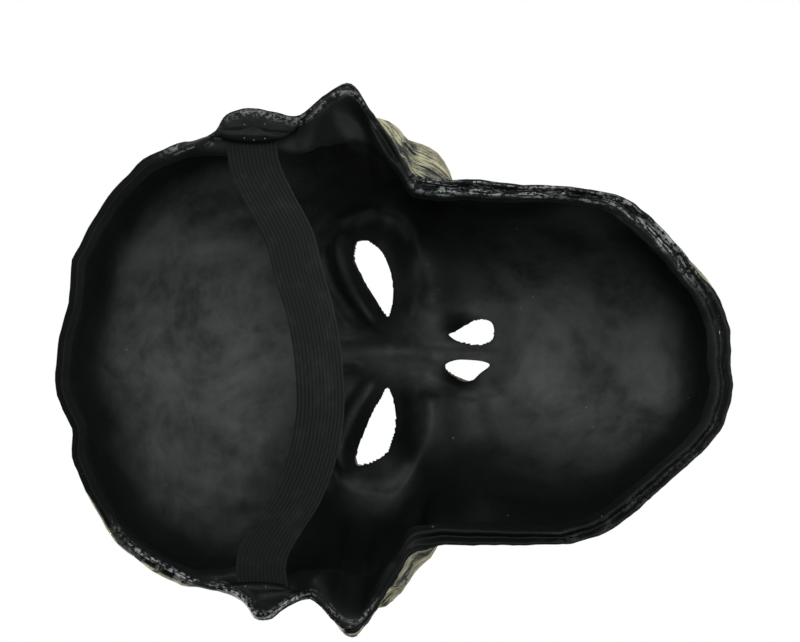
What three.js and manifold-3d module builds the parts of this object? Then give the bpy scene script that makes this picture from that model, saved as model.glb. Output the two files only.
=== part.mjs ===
// A full-face latex skull mask with an elastic head strap, in millimetres.
// The frame is the worn one: +Z to the crown, +Y to the back of the wearer's head, +X to the wearer's left.
// The origin is on the mid-line at the height of the eye openings, in the plane of the rim's flat lip.
// The skin is one slip-cast shell: a lip that lay on the mould's face, a wall, and a domed face with relief.
// The strap is one length of elastic, kept as five nodes so that its free span can swing and stretch.
import * as THREE from "three";
import { mergeVertices } from "three/addons/utils/BufferGeometryUtils.js";
import Module from "manifold-3d";

// Skin
const maskWidth = 220; // between the tips of the cheekbones
const maskHeight = 270; // crown to chin
const skinThickness = 2.4;
const faceDepth = 112; // rim plane to the inner side of the face at the nose bridge
const reliefFade = 0.16; // share of the way in from the wall over which the relief rises
const faceCentreZ = -5; // height of the point that every profile of the face runs to
const lipTurn = 4; // width of the curve that turns the lip into the wall, the rest of the lip being flat
const lipDepth = 6; // depth of that curve
const bellyDepth = 48; // depth at which the wall stands furthest out
const crownFullness = 2.25; // superellipse exponents of the profiles, over the crown and under the chin
const chinFullness = 2.85;

const tabInset = 15; // from the lip's cut edge in to where the strap comes out from under its tab

// Half outlines from crown to chin, drawn for a mask of this width and height and then brought to its own.
const drawnWidth = 220;
const drawnHeight = 270;
const lobeHeight = 48; // where the lip widens to hold the strap
// The lip's cut edge: x, z and the width of the lip there.
const lipEdge = [
  [0, 127, 3], [22, 123.5, 3], [46, 117.5, 3], [70, 104, 3], [84, 86, 4], [91, 70, 8], [96.5, 61, 15],
  [102, lobeHeight, tabInset + lipTurn], [100, 36, 17], [97, 28, 11], [102, 20.5, 10], [110, 10.5, 10],
  [102, 3, 9], [85, -8, 8], [75, -16, 8], [73.5, -30, 9], [73.5, -60, 9], [71, -86, 9], [66, -97, 8], [53, -113, 7],
  [38, -128, 7], [25, -139, 7], [0, -143, 7],
];
// The wall at the belly depth: x and z.
const bellyEdge = [
  [0, 130], [48, 122], [74, 106], [89, 84], [95, 62], [96, 40], [96, 20], [97, 4], [92, -14], [82, -27],
  [72, -42], [68, -64], [65, -86], [52, -112], [30, -136], [0, -145],
];
// Relief of the face: centre, radii, turn in degrees, how far it stands forward, and how steep its edge is.
// Each one is mirrored to the other side unless it lies on the mid-line.
const relief = [
  { x: 30, z: 25, rx: 28, rz: 8, turn: 22, forward: 9, edge: 1 }, // brow ridge
  { x: 0, z: 20, rx: 13, rz: 12, turn: 0, forward: 5, edge: 1 }, // glabella
  { x: 34, z: 0, rx: 22, rz: 15.5, turn: 20, forward: -17, edge: 2 }, // eye socket
  { x: 0, z: -8, rx: 8, rz: 18, turn: 0, forward: 9, edge: 1 }, // nose bridge
  { x: 0, z: -43, rx: 19, rz: 15, turn: 0, forward: -9, edge: 2 }, // nasal opening
  { x: 58, z: -22, rx: 26, rz: 9, turn: 24, forward: 9, edge: 1 }, // cheekbone
  { x: 50, z: -62, rx: 15, rz: 26, turn: -12, forward: -9, edge: 1 }, // hollow under the cheekbone
  { x: 0, z: -80, rx: 38, rz: 24, turn: 0, forward: 7, edge: 1 }, // tooth arch
  { x: 0, z: -128, rx: 26, rz: 11, turn: 0, forward: 8, edge: 1 }, // chin
  { x: 76, z: 40, rx: 14, rz: 24, turn: 0, forward: -8, edge: 1 }, // temple
];
// Openings, each the half on the wearer's left.
const eyeOpening = [
  [15.3, -4.8], [25, 2], [34.5, 7.6], [43, 10.2], [48.6, 9], [49.2, 4.8], [45.5, -1.8], [40, -5.4], [32, -7.6],
  [24, -7.8], [18, -6.4],
];
const nostrilOpening = [
  [6.8, -31], [10.4, -34.8], [13.4, -40], [13.2, -45.4], [9.6, -50], [5.6, -50.4], [3.8, -46], [3.6, -39], [4.6, -34],
];

// Strap and its anchors
const strapWidth = 20;
const strapThickness = 1.3;
const strapSlack = 42; // how far the slack strap's middle stands away from the line through its ends
const strapDroop = 38; // degrees below straight back that the slack middle hangs
const strapTilt = 25; // degrees that the middle's broad face turns down
const strapFullness = 0.7; // below 1, the bow stays full further out towards its ends
const strapTuck = 11; // length of strap held under each tab
const strapStub = 10; // how far each end stays with the lip before the strap starts to swing
const strapMiddle = 84; // length of the middle stretch across the mask
const tabWidth = 30;
const tabReach = 12.5;
const tabThickness = 2.2;
const tabCorner = 8;
const recessFade = 9; // distance over which the lip rises again beside the tab
const seatGap = 0.3; // between pieces that lie on one another
const wireWidth = 0.8;
const stapleSpan = 9;
const stapleSpacing = 5.5; // between the two staples on a side
const stapleClearance = 0.3; // around a wire in its hole
const stapleProud = 0.4; // wire standing out past the tab

const lipSegments = 4; // half on the flat and half on the curve
const wallSegments = 17;
const centreSpacing = 1.25; // exponent that steps the wall's rings evenly towards the face's centre
const aroundSegments = 76;
const tabDensity = 2.6; // how much closer the segments stand beside the tabs

const wider = maskWidth / drawnWidth;
const taller = maskHeight / drawnHeight;
const strapHeight = lobeHeight * taller;
const anchorSeat = skinThickness + seatGap + strapThickness + seatGap + tabThickness + seatGap;
const anchorRecess = anchorSeat - skinThickness; // how far the lip is sunk where the tab lies on it
const strapCentreY = -anchorRecess + seatGap + strapThickness / 2;
const degrees = Math.PI / 180;

const wasm = await Module();
wasm.setup();

function colour(hex, roughness, metalness = 0) {
  return new THREE.MeshStandardMaterial({ color: hex, roughness, metalness });
}
const latexBone = colour(0xb9b594, 0.6);
const latexBlack = colour(0x1b1d1c, 0.5);
const elasticBlack = colour(0x1d1f20, 0.85);
const staplesSteel = colour(0xa8a8a4, 0.35, 1);

function smooth(t) {
  const k = Math.min(1, Math.max(0, t));
  return k * k * (3 - 2 * k);
}

// A closed outline, given by its half from crown to chin, as a function of the angle about the face's centre.
// Angle 0 points to the wearer's left and 90 degrees to the crown. Further columns are blended along with it.
function outlineByAngle(half) {
  const left = half.map(([x, z, lip = 0]) => new THREE.Vector3(x * wider, z * taller - faceCentreZ, lip));
  const right = left.slice(1, -1).reverse().map((p) => new THREE.Vector3(-p.x, p.y, p.z));
  const curve = new THREE.CatmullRomCurve3([...left, ...right], true, "centripetal");
  const samples = curve.getPoints(1440).map((p) => ({
    angle: Math.atan2(p.y, p.x), radius: Math.hypot(p.x, p.y), lip: p.z,
  })).sort((a, b) => a.angle - b.angle);
  const first = samples[0];
  const last = samples[samples.length - 1];
  samples.unshift({ ...last, angle: last.angle - 2 * Math.PI });
  samples.push({ ...first, angle: first.angle + 2 * Math.PI });
  return (angle) => {
    const turned = Math.atan2(Math.sin(angle), Math.cos(angle));
    let low = 0;
    let high = samples.length - 1;
    while (high - low > 1) {
      const middle = (low + high) >> 1;
      if (samples[middle].angle <= turned) low = middle;
      else high = middle;
    }
    const a = samples[low];
    const b = samples[high];
    const t = b.angle > a.angle ? (turned - a.angle) / (b.angle - a.angle) : 0;
    return { radius: a.radius + (b.radius - a.radius) * t, lip: a.lip + (b.lip - a.lip) * t };
  };
}
const lipAt = outlineByAngle(lipEdge);
const bellyAt = outlineByAngle(bellyEdge);

// Half the width of the lip's cut edge at a height above the face's centre.
function halfWidthAt(z) {
  let low = 0;
  let high = Math.PI / 2;
  for (let i = 0; i < 40; i++) {
    const middle = (low + high) / 2;
    if (faceCentreZ + lipAt(middle).radius * Math.sin(middle) < z) low = middle;
    else high = middle;
  }
  return lipAt(low).radius * Math.cos(low);
}
const strapHalfSpan = halfWidthAt(strapHeight) - tabInset;

// How far the face stands forward of the plain dome at a point seen from the front.
function reliefAt(x, z) {
  let forward = 0;
  for (const r of relief) {
    for (const side of r.x === 0 ? [1] : [1, -1]) {
      const dx = side * x - r.x;
      const dz = z - r.z;
      const c = Math.cos(r.turn * degrees);
      const s = Math.sin(r.turn * degrees);
      const q = ((dx * c + dz * s) / r.rx) ** 2 + ((dz * c - dx * s) / r.rz) ** 2;
      forward += r.forward * Math.exp(-(q ** r.edge));
    }
  }
  return forward;
}

// The lip is sunk beside each end of the strap, so that the tab lies flush with the rest of it.
function recessAt(x, z) {
  const past = Math.abs(z - strapHeight) - tabWidth / 2;
  const inside = Math.abs(x) - (strapHalfSpan - strapStub - recessFade);
  return anchorRecess * (1 - smooth(past / recessFade)) * smooth(inside / recessFade);
}

// A point of the skin's inner side. The profile runs from 0 at the cut edge to 0.5 where the lip starts to
// curve, 1 where the wall starts, and 2 at the centre of the face.
function innerPoint(angle, profile) {
  const { radius: edge, lip } = lipAt(angle);
  const toX = Math.cos(angle);
  const toZ = Math.sin(angle);
  const flat = Math.max(lip - lipTurn, lip / 4);
  const wallStart = edge - lip;
  let radius;
  let depth;
  let forward = 0;
  if (profile <= 1) {
    const bend = Math.max(0, 2 * profile - 1) * Math.PI / 2;
    radius = edge - flat * Math.min(1, 2 * profile) - (lip - flat) * Math.sin(bend);
    depth = lipDepth * (1 - Math.cos(bend));
  } else {
    const turn = (profile - 1) * Math.PI / 2;
    const fullness = crownFullness + (chinFullness - crownFullness) * smooth(0.5 - toZ / 2);
    const inward = Math.cos(turn) ** (2 / fullness);
    depth = lipDepth + (faceDepth - lipDepth) * Math.sin(turn) ** (2 / fullness);
    const flare = smooth((depth - lipDepth) / (bellyDepth - lipDepth));
    const wall = wallStart + (bellyAt(angle).radius - wallStart) * flare;
    radius = wall * inward;
    forward = smooth((1 - inward) / reliefFade) * reliefAt(radius * toX, faceCentreZ + radius * toZ);
  }
  const x = radius * toX;
  const z = faceCentreZ + radius * toZ;
  const sunk = recessAt(x, z) * (1 - smooth((depth - lipDepth) / lipDepth));
  return new THREE.Vector3(x, -depth - forward - sunk, z);
}

// The way out through the skin at a point of its inner side.
function outwardAt(angle, profile) {
  const step = 0.004;
  const along = innerPoint(angle, profile + step).sub(innerPoint(angle, Math.max(0, profile - step)));
  const around = innerPoint(angle + step, profile).sub(innerPoint(angle - step, profile));
  return around.cross(along).normalize();
}

// Angles that step along the lip's cut edge, closer together beside the tabs.
function stepAngles(count) {
  const fine = 2880;
  const lengths = [0];
  const at = (k) => {
    const angle = (k / fine) * 2 * Math.PI;
    const { radius } = lipAt(angle);
    return new THREE.Vector2(radius * Math.cos(angle), faceCentreZ + radius * Math.sin(angle));
  };
  for (let k = 1; k <= fine; k++) {
    const point = at(k);
    const besideTab = Math.abs(point.y - strapHeight) < tabWidth / 2 + recessFade;
    lengths.push(lengths[k - 1] + point.distanceTo(at(k - 1)) * (besideTab ? tabDensity : 1));
  }
  const angles = [];
  let k = 0;
  for (let i = 0; i < count; i++) {
    const wanted = (i / count) * lengths[fine];
    while (lengths[k + 1] < wanted) k++;
    angles.push(((k + (wanted - lengths[k]) / (lengths[k + 1] - lengths[k])) / fine) * 2 * Math.PI);
  }
  return angles;
}

function solidFrom(geometry) {
  const bare = new THREE.BufferGeometry().setAttribute("position", geometry.getAttribute("position"));
  if (geometry.index) bare.setIndex(geometry.index);
  const merged = mergeVertices(bare, 1e-4);
  const vertProperties = merged.attributes.position.array;
  const triVerts = new Uint32Array(merged.index.array);
  return new wasm.Manifold(new wasm.Mesh({ numProp: 3, vertProperties, triVerts }));
}

function geometryFrom(solid) {
  const { numProp, vertProperties, triVerts } = solid.getMesh();
  const position = new Float32Array((vertProperties.length / numProp) * 3);
  for (let i = 0; i < position.length / 3; i++) {
    position.set(vertProperties.subarray(i * numProp, i * numProp + 3), i * 3);
  }
  const geometry = new THREE.BufferGeometry();
  geometry.setAttribute("position", new THREE.BufferAttribute(position, 3));
  geometry.setIndex(new THREE.BufferAttribute(triVerts, 1));
  geometry.computeVertexNormals();
  return geometry;
}

// The closed shell: rings of points on the inner side, the same rings on the outer side, and an edge between.
function shellGeometry() {
  const profiles = [];
  for (let i = 0; i < lipSegments; i++) profiles.push(i / lipSegments);
  for (let i = 0; i < wallSegments; i++) profiles.push(2 - (1 - i / wallSegments) ** centreSpacing);
  const angles = stepAngles(aroundSegments);
  const positions = [];
  const index = [];
  const ring = (side, i, j) => (side * profiles.length + i) * aroundSegments + (j % aroundSegments);
  for (const side of [0, 1]) {
    for (const profile of profiles) {
      for (const angle of angles) {
        const p = innerPoint(angle, profile);
        if (side) p.addScaledVector(outwardAt(angle, profile), skinThickness);
        positions.push(p.x, p.y, p.z);
      }
    }
  }
  const pole = innerPoint(0, 2);
  positions.push(pole.x, pole.y, pole.z, pole.x, pole.y - skinThickness, pole.z);
  const poleIndex = [2 * profiles.length * aroundSegments, 2 * profiles.length * aroundSegments + 1];
  const quad = (a, b, c, d) => index.push(a, b, c, a, c, d);
  const lastRing = profiles.length - 1;
  for (let j = 0; j < aroundSegments; j++) {
    for (let i = 0; i < lastRing; i++) {
      quad(ring(0, i, j), ring(0, i + 1, j), ring(0, i + 1, j + 1), ring(0, i, j + 1));
      quad(ring(1, i, j), ring(1, i, j + 1), ring(1, i + 1, j + 1), ring(1, i + 1, j));
    }
    index.push(ring(0, lastRing, j), poleIndex[0], ring(0, lastRing, j + 1));
    index.push(ring(1, lastRing, j), ring(1, lastRing, j + 1), poleIndex[1]);
    quad(ring(0, 0, j), ring(0, 0, j + 1), ring(1, 0, j + 1), ring(1, 0, j));
  }
  const geometry = new THREE.BufferGeometry();
  geometry.setAttribute("position", new THREE.Float32BufferAttribute(positions, 3));
  geometry.setIndex(index);
  return geometry;
}

// A prism through the face from a closed outline seen from the front, with its side mirrored where asked.
function openingCutter(points, side) {
  const corners = points.map(([x, z]) => new THREE.Vector3(side * x, z, 0));
  const curve = new THREE.CatmullRomCurve3(corners, true, "centripetal");
  const shape = new THREE.Shape(curve.getPoints(26).slice(0, -1).map((p) => new THREE.Vector2(p.x, p.y)));
  const geometry = new THREE.ExtrudeGeometry(shape, { depth: 2 * faceDepth, bevelEnabled: false });
  geometry.rotateX(Math.PI / 2); // the outline's height becomes z, and the prism runs forward
  return solidFrom(geometry);
}

const sides = [{ name: "left", sign: 1 }, { name: "right", sign: -1 }];

// The staples on a side, one further out than the other.
function stapleRows(sign) {
  const middle = strapHalfSpan + strapTuck / 2;
  return [
    { name: "outer", x: sign * (middle + stapleSpacing / 2) },
    { name: "inner", x: sign * (middle - stapleSpacing / 2) },
  ];
}

function wireHoles(sign) {
  const size = wireWidth + 2 * stapleClearance;
  const holes = stapleRows(sign).flatMap(({ x }) => [-1, 1].map((end) => {
    const box = new THREE.BoxGeometry(size, 8 * anchorSeat, size);
    return solidFrom(box.translate(x, 0, strapHeight + end * (stapleSpan - wireWidth) / 2));
  }));
  return holes.reduce((all, hole) => all.add(hole));
}

function makeSkin() {
  let skin = solidFrom(shellGeometry());
  for (const { sign } of sides) {
    skin = skin.subtract(openingCutter(eyeOpening, sign));
    skin = skin.subtract(openingCutter(nostrilOpening, sign));
    skin = skin.subtract(wireHoles(sign));
  }
  return new THREE.Mesh(geometryFrom(skin), latexBone);
}

// The middle of the strap at a distance across the mask, and the tilt of its width.
function strapAt(across) {
  const share = Math.min(1, Math.abs(across) / strapHalfSpan);
  const bow = ((1 + Math.cos(Math.PI * share)) / 2) ** strapFullness;
  const droop = strapDroop * degrees;
  return {
    centre: new THREE.Vector3(
      across,
      strapCentreY + strapSlack * bow * Math.cos(droop),
      strapHeight - strapSlack * bow * Math.sin(droop),
    ),
    tilt: strapTilt * degrees * bow,
  };
}

// A stretch of strap between two distances across the mask, as a ribbon swept along it. Its ends are cut
// square to the hinge line, so that neighbouring stretches turn past each other.
function ribbonGeometry(from, to, steps) {
  const positions = [];
  const index = [];
  for (let i = 0; i <= steps; i++) {
    const across = from + (to - from) * (i / steps);
    const { centre, tilt } = strapAt(across);
    const along = strapAt(across + 0.5).centre.sub(strapAt(across - 0.5).centre).normalize();
    const wide = new THREE.Vector3(0, Math.sin(tilt), Math.cos(tilt));
    const thick = new THREE.Vector3(0, -Math.cos(tilt), Math.sin(tilt));
    const slant = Math.sqrt(1 - thick.dot(along) ** 2);
    for (const [w, t] of [[-1, -1], [1, -1], [1, 1], [-1, 1]]) {
      const p = centre.clone().addScaledVector(wide, w * strapWidth / 2);
      p.addScaledVector(thick, t * strapThickness / 2 / slant);
      positions.push(p.x, p.y, p.z);
    }
  }
  for (let i = 0; i < steps; i++) {
    for (let k = 0; k < 4; k++) {
      const a = 4 * i + k;
      const b = 4 * i + ((k + 1) % 4);
      // The diagonals of the two broad faces run parallel, which keeps the thickness even where the strap twists.
      if (k < 2) index.push(a, b, b + 4, a, b + 4, a + 4);
      else index.push(a, b, a + 4, b, b + 4, a + 4);
    }
  }
  const end = 4 * steps;
  index.push(0, 2, 1, 0, 3, 2, end, end + 1, end + 2, end, end + 2, end + 3);
  const geometry = new THREE.BufferGeometry();
  geometry.setAttribute("position", new THREE.Float32BufferAttribute(positions, 3));
  geometry.setIndex(index);
  return geometry;
}

function makeStrapPieces() {
  const pieces = [];
  const add = (name, from, to, steps) => {
    const mesh = new THREE.Mesh(ribbonGeometry(from, to, steps), elasticBlack);
    mesh.name = name;
    pieces.push(mesh);
  };
  const legStart = strapHalfSpan - strapStub - seatGap / 2;
  const legEnd = strapMiddle / 2 + seatGap / 2;
  add("strap_leg_right", -legStart, -legEnd, 10);
  add("strap_middle", -strapMiddle / 2 + seatGap / 2, strapMiddle / 2 - seatGap / 2, 24);
  add("strap_leg_left", legEnd, legStart, 10);
  for (const { name, sign } of sides) {
    const ends = [legStart + seatGap, strapHalfSpan + strapTuck].map((x) => sign * x).sort((a, b) => a - b);
    const geometry = geometryFrom(solidFrom(ribbonGeometry(ends[0], ends[1], 8)).subtract(wireHoles(sign)));
    const mesh = new THREE.Mesh(geometry, elasticBlack);
    mesh.name = `strap_end_${name}`;
    pieces.push(mesh);
  }
  return pieces;
}

// The tab: a rounded flap of latex over the end of the strap.
function makeTab({ name, sign }) {
  const shape = new THREE.Shape();
  const w = tabWidth / 2;
  const r = tabCorner;
  shape.moveTo(0, -w);
  shape.lineTo(tabReach - r, -w);
  shape.absarc(tabReach - r, -w + r, r, -Math.PI / 2, 0, false);
  shape.lineTo(tabReach, w - r);
  shape.absarc(tabReach - r, w - r, r, 0, Math.PI / 2, false);
  shape.lineTo(0, w);
  const settings = { depth: tabThickness, bevelEnabled: false, curveSegments: 5 };
  const slab = new THREE.ExtrudeGeometry(shape, settings);
  slab.rotateX(Math.PI / 2);
  if (sign < 0) slab.rotateZ(Math.PI).translate(0, -tabThickness, 0);
  slab.translate(sign * strapHalfSpan, -seatGap, strapHeight);
  const tab = new THREE.Mesh(geometryFrom(solidFrom(slab).subtract(wireHoles(sign))), latexBlack);
  tab.name = `anchor_tab_${name}`;
  return tab;
}

// A staple: its back lies on the painted side of the lip, and its two wires come through the tab.
function makeStaple(side, row) {
  const h = stapleSpan / 2;
  const length = anchorSeat + seatGap + wireWidth + stapleProud;
  const shape = new THREE.Shape([
    [-h, 0], [h, 0], [h, length], [h - wireWidth, length], [h - wireWidth, wireWidth],
    [-h + wireWidth, wireWidth], [-h + wireWidth, length], [-h, length],
  ].map(([a, b]) => new THREE.Vector2(a, b)));
  const wire = new THREE.ExtrudeGeometry(shape, { depth: wireWidth, bevelEnabled: false });
  wire.translate(0, 0, -wireWidth / 2).rotateY(-Math.PI / 2); // the span now runs along z
  const staple = new THREE.Mesh(wire, staplesSteel);
  staple.position.set(row.x, -anchorRecess - skinThickness - seatGap - wireWidth, strapHeight);
  staple.name = `staple_${side.name}_${row.name}`;
  return staple;
}

const mask = new THREE.Group();
const skin = makeSkin();
skin.name = "latex_skin";
mask.add(skin, ...makeStrapPieces());
for (const side of sides) {
  mask.add(makeTab(side), ...stapleRows(side.sign).map((row) => makeStaple(side, row)));
}

export default mask;
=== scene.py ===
import bpy
import numpy as np
from mathutils import Matrix, Vector


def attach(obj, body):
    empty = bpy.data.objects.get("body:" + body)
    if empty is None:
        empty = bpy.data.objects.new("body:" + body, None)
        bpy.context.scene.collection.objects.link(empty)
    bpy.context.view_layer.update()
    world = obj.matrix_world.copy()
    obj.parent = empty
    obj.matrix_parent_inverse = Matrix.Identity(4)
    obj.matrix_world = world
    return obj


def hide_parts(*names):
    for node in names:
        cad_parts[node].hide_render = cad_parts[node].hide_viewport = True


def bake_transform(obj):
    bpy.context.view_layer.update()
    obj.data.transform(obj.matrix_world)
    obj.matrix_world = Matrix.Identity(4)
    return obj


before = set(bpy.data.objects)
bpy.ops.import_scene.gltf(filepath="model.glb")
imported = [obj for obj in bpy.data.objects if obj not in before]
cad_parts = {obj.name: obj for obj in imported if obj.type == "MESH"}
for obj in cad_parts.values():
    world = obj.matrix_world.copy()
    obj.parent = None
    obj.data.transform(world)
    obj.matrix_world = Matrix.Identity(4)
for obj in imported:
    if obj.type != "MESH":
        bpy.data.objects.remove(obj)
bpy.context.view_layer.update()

mm = 0.001
scene = bpy.context.scene
smoothly = {"interpolation_type": "SMOOTHSTEP"}
inColor = {"data_type": "RGBA"}
times, scaledPlus = {"operation": "MULTIPLY"}, {"operation": "MULTIPLY_ADD"}
math, ramp, mix = "Math", "MapRange", "Mix"


def linearColor(hexCode):
    parts = [int(hexCode[i:i + 2], 16) / 255 for i in (1, 3, 5)]
    return [c / 12.92 if c <= 0.04045 else ((c + 0.055) / 1.055) ** 2.4 for c in parts] + [1.0]


def smooth(t):
    k = np.clip(t, 0, 1)
    return k * k * (3 - 2 * k)


def unit(vectors):
    return vectors / np.maximum(np.linalg.norm(vectors, axis=-1, keepdims=True), 1e-9)


def gridFaces(rows, around):
    # Quads of a grid that closes on itself one way
    faces = []
    for r in range(rows - 1):
        for a, b in ((a, (a + 1) % around) for a in range(around)):
            faces.append((r * around + a, r * around + b, (r + 1) * around + b, (r + 1) * around + a))
    return faces


def addNode(tree, kind, settings=None, inputs=None, out=0):
    # The inputs are either other nodes' outputs, which are linked, or plain values
    made = tree.nodes.new("ShaderNode" + kind)
    for key, value in (settings or {}).items():
        setattr(made, key, value)
    for key, value in (inputs or {}).items():
        if isinstance(value, bpy.types.NodeSocket):
            tree.links.new(value, made.inputs[key])
        else:
            made.inputs[key].default_value = value
    return made.outputs[out] if made.outputs else made


def newMaterial(name):
    made = bpy.data.materials.new(name)
    made.use_nodes = True
    made.node_tree.nodes.clear()
    return made, made.node_tree


def newObject(name, points, faces, material, attributes=None):
    mesh = bpy.data.meshes.new(name)
    mesh.from_pydata([tuple(p) for p in np.asarray(points, float) * mm], [], faces)
    mesh.update()
    for key, values in (attributes or {}).items():
        values = np.asarray(values, np.float32)
        layer = mesh.attributes.new(key, "FLOAT_VECTOR" if values.ndim == 2 else "FLOAT", "POINT")
        layer.data.foreach_set("vector" if values.ndim == 2 else "value", values.ravel())
    mesh.materials.append(material)
    mesh.polygons.foreach_set("use_smooth", [True] * len(faces))
    made = bpy.data.objects.new(name, mesh)
    scene.collection.objects.link(made)
    return made


# The camera looks in at the mask's open side, with the crown to the left. Places in mm.
view = {
    "position": (-46, 1000, -10),
    "target": (-16.8, 0, -10),
    "lens": 112.5,
    "sensor": 36,
}


def makeCamera(s):
    data = bpy.data.cameras.new("camera")
    data.lens = s["lens"]
    data.sensor_width = s["sensor"]
    data.clip_start = 0.05
    data.clip_end = 20
    made = bpy.data.objects.new("camera", data)
    scene.collection.objects.link(made)
    position = Vector(s["position"]) * mm
    back = (position - Vector(s["target"]) * mm).normalized()
    up = Vector((-1, 0, 0))
    up = (up - back * back.dot(up)).normalized()
    right = up.cross(back)
    made.matrix_world = Matrix.Translation(position) @ Matrix((right, up, back)).transposed().to_4x4()
    scene.camera = made


makeCamera(view)
print("camera set")

stage = {
    "floorHeight": -420,
    "floorRadius": 1450,
    "floorColor": "#f1f0ee",
    "backdrop": 1.0,
    "fill": 0.24,
    "lamps": [  # place in mm, size in mm, power in watts
        ("lampBehind", (-640, 1300, 120), 700, 14),
        ("lampFrontLeft", (1000, -1150, 900), 600, 25),
        ("lampFrontRight", (-1200, -900, 250), 900, 6),
    ],
}


def makeStage(s):
    world = bpy.data.worlds.new("studio")
    scene.world = world
    world.use_nodes = True
    tree = world.node_tree
    tree.nodes.clear()
    seen = addNode(tree, "LightPath", out="Is Camera Ray")
    fill, backdrop = (addNode(tree, "Background", None, {"Color": (1, 1, 1, 1), "Strength": s[key]})
                      for key in ("fill", "backdrop"))
    both = addNode(tree, "MixShader", None, {0: seen, 1: fill, 2: backdrop})
    addNode(tree, "OutputWorld", None, {"Surface": both})
    for name, place, size, power in s["lamps"]:
        light = bpy.data.lights.new(name, "AREA")
        light.size = size * mm
        light.energy = power
        lamp = bpy.data.objects.new(name, light)
        scene.collection.objects.link(lamp)
        lamp.location = Vector(place) * mm
        lamp.rotation_euler = lamp.location.to_track_quat("Z", "Y").to_euler()
    # Pale matt paper that runs out to white before its edge, so that no horizon shows
    material, tree = newMaterial("mattePaper")
    place = addNode(tree, "TexCoord", out="Object")
    far = addNode(tree, "VectorMath", {"operation": "LENGTH"}, {0: place}, "Value")
    fade = addNode(tree, ramp, smoothly, {"Value": far, "From Min": 0.55, "From Max": 1.3})
    grain = addNode(tree, "TexNoise", None, {"Vector": place, "Scale": 1 / (3 * mm), "Detail": 3})
    bump = addNode(tree, "Bump", None, {"Height": grain, "Strength": 0.05, "Distance": 0.2 * mm})
    paper = addNode(tree, "BsdfPrincipled", None, {
        "Base Color": linearColor(s["floorColor"]), "Roughness": 0.9, "Normal": bump})
    white = addNode(tree, "Emission", None, {"Color": (1, 1, 1, 1), "Strength": 1.0})
    both = addNode(tree, "MixShader", None, {0: fade, 1: paper, 2: white})
    addNode(tree, "OutputMaterial", None, {"Surface": both})
    turn = np.linspace(0, 2 * np.pi, 96, endpoint=False)
    circle = s["floorRadius"] * np.stack([np.cos(turn), np.sin(turn), turn * 0], 1)
    floor = newObject("floor", circle, [tuple(range(len(turn)))], material)
    floor.location.z = s["floorHeight"] * mm
    scene.view_settings.view_transform = "Standard"


makeStage(stage)
print("stage set")

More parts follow.
